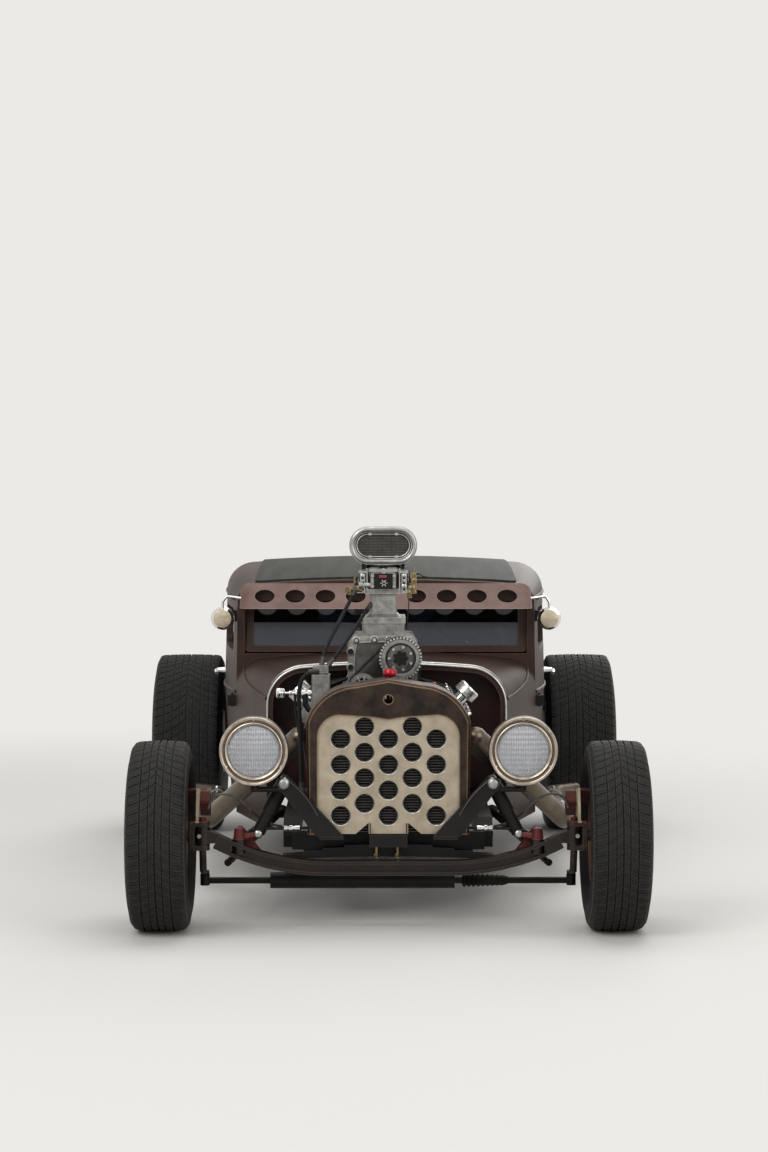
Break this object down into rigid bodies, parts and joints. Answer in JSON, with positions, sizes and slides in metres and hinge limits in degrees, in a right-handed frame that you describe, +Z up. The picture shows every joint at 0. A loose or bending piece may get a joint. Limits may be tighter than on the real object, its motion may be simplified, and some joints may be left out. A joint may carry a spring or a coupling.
{
  "type": "hot rod car",
  "caption": "Channelled and chopped two-door hot rod with open wheels, a blown V8 in the open, round lamps, a holed grille, sun visor and side pipes.",
  "frame": {"origin": "on the ground below the middle of the car's box, at the bottom of its tyres", "axes": "the car faces -Y, +X is its left side, +Z is up"},
  "size_m": [1.9532, 3.4199, 1.34],
  "materials": {
    "tyre_rubber": "matt, worn tread",
    "wheel_steel": "rusty orange-brown",
    "axle_steel": "dark brown, worn edges",
    "black_steel": "satin black",
    "red_steel": "dull red",
    "shell_steel": "bare rusty steel with bright edges",
    "grille_metal": "brushed tan",
    "core_black": "matt black fins",
    "lamp_copper": "brown with bright ring",
    "lamp_glass": "clear fluted",
    "engine_iron": "cast",
    "cast_aluminium": "as cast",
    "polished_aluminium": "polished rim",
    "belt_rubber": "black ribbed",
    "exhaust_steel": "heat-tinted tan",
    "body_paint": "satin brown maroon",
    "visor_paint": "satin dusty rose brown",
    "window_glass": "tinted",
    "roof_vinyl": "dark grained vinyl",
    "firewall_paint": "dark maroon",
    "wheel_plastic": "black",
    "seat_leather": "dark brown",
    "mirror_steel": "bright",
    "tail_plastic": "red"
  },
  "bodies": {
    "chassis": {"front_axle": "axle_steel", "front_spring": "black_steel", "spring_perches": "red_steel", "front_shocks": "black_steel", "front_radius_rods": "black_steel", "frame_rail_left": "black_steel", "frame_rail_right": "black_steel", "front_crossmember": "black_steel", "frame_crossmembers": "black_steel", "lamp_gussets": "black_steel", "rear_axle": "black_steel", "rear_coilovers": "black_steel", "rear_radius_rods": "black_steel", "radiator_shell": "shell_steel", "grille_insert": "grille_metal", "radiator_core": "core_black", "headlight_buckets": "lamp_copper", "headlight_lenses": "lamp_glass", "engine_block": "engine_iron", "valve_covers": "cast_aluminium", "blower_case": "cast_aluminium", "carb_tower": "cast_aluminium", "carburettor": "cast_aluminium", "air_scoop": "polished_aluminium", "blower_pulleys": "cast_aluminium", "blower_belt": "belt_rubber", "fuel_block": "cast_aluminium", "fuel_hoses": "belt_rubber", "header_left": "exhaust_steel", "header_right": "exhaust_steel", "gearbox": "engine_iron", "cowl": "body_paint", "roof": "body_paint", "quarter_panel_left": "body_paint", "quarter_panel_right": "body_paint", "back_panel": "body_paint", "windshield_frame": "body_paint", "fixed_glass": "window_glass", "sun_visor": "visor_paint", "roof_insert": "roof_vinyl", "floor_pan": "black_steel", "firewall": "firewall_paint", "dashboard": "firewall_paint", "seat": "seat_leather", "mirrors": "mirror_steel", "tail_lamps": "tail_plastic"},
    "knuckle_left": {"knuckle_left": "axle_steel"},
    "knuckle_right": {"knuckle_right": "axle_steel"},
    "tie_rod": {"tie_rod": "axle_steel"},
    "front_wheel_left": {"front_tyre_left": "tyre_rubber", "front_wheel_left": "wheel_steel"},
    "front_wheel_right": {"front_tyre_right": "tyre_rubber", "front_wheel_right": "wheel_steel"},
    "rear_wheel_left": {"rear_tyre_left": "tyre_rubber", "rear_wheel_left": "wheel_steel"},
    "rear_wheel_right": {"rear_tyre_right": "tyre_rubber", "rear_wheel_right": "wheel_steel"},
    "door_left": {"door_left": "body_paint"},
    "door_right": {"door_right": "body_paint"},
    "steering_wheel": {"steering_wheel": "wheel_plastic"}
  },
  "joints": [
    {"name": "steer_left", "type": "hinge", "parent": "chassis", "child": "knuckle_left", "pos_m": [0.622, -1.3925, 0.3175], "axis": [0, 0, 1], "range_deg": [-26, 26]},
    {"name": "steer_right", "type": "hinge", "parent": "chassis", "child": "knuckle_right", "pos_m": [-0.622, -1.3925, 0.3175], "axis": [0, 0, 1], "range_deg": [-26.5, 26.5]},
    {"name": "tie_rod_swing", "type": "hinge", "parent": "knuckle_left", "child": "tie_rod", "pos_m": [0.622, -1.2625, 0.147], "axis": [0, 0, 1], "range_deg": [-26.5, 26.5]},
    {"name": "steering_wheel_turn", "type": "hinge", "parent": "chassis", "child": "steering_wheel", "pos_m": [0.3, 0.3475, 0.838], "axis": [0, 0.9125, 0.4091], "range_deg": [-209, 209]},
    {"name": "front_spin_left", "type": "hinge", "parent": "knuckle_left", "child": "front_wheel_left", "pos_m": [0.76, -1.3925, 0.3175], "axis": [1, 0, 0], "continuous": true},
    {"name": "front_spin_right", "type": "hinge", "parent": "knuckle_right", "child": "front_wheel_right", "pos_m": [-0.76, -1.3925, 0.3175], "axis": [1, 0, 0], "continuous": true},
    {"name": "rear_spin_left", "type": "hinge", "parent": "chassis", "child": "rear_wheel_left", "pos_m": [0.83, 1.2375, 0.375], "axis": [1, 0, 0], "continuous": true},
    {"name": "rear_spin_right", "type": "hinge", "parent": "chassis", "child": "rear_wheel_right", "pos_m": [-0.83, 1.2375, 0.375], "axis": [1, 0, 0], "continuous": true},
    {"name": "door_left_hinge", "type": "hinge", "parent": "chassis", "child": "door_left", "pos_m": [0.59, -0.035, 0.66], "axis": [0, 0, -1], "range_deg": [0, 68]},
    {"name": "door_right_hinge", "type": "hinge", "parent": "chassis", "child": "door_right", "pos_m": [-0.59, -0.035, 0.66], "axis": [0, 0, 1], "range_deg": [0, 68]}
  ],
  "couplings": [
    {"joint": "steer_right", "follows": "steer_left", "ratio": 1},
    {"joint": "tie_rod_swing", "follows": "steer_left", "ratio": -1},
    {"joint": "steering_wheel_turn", "follows": "steer_left", "ratio": 8}
  ]
}
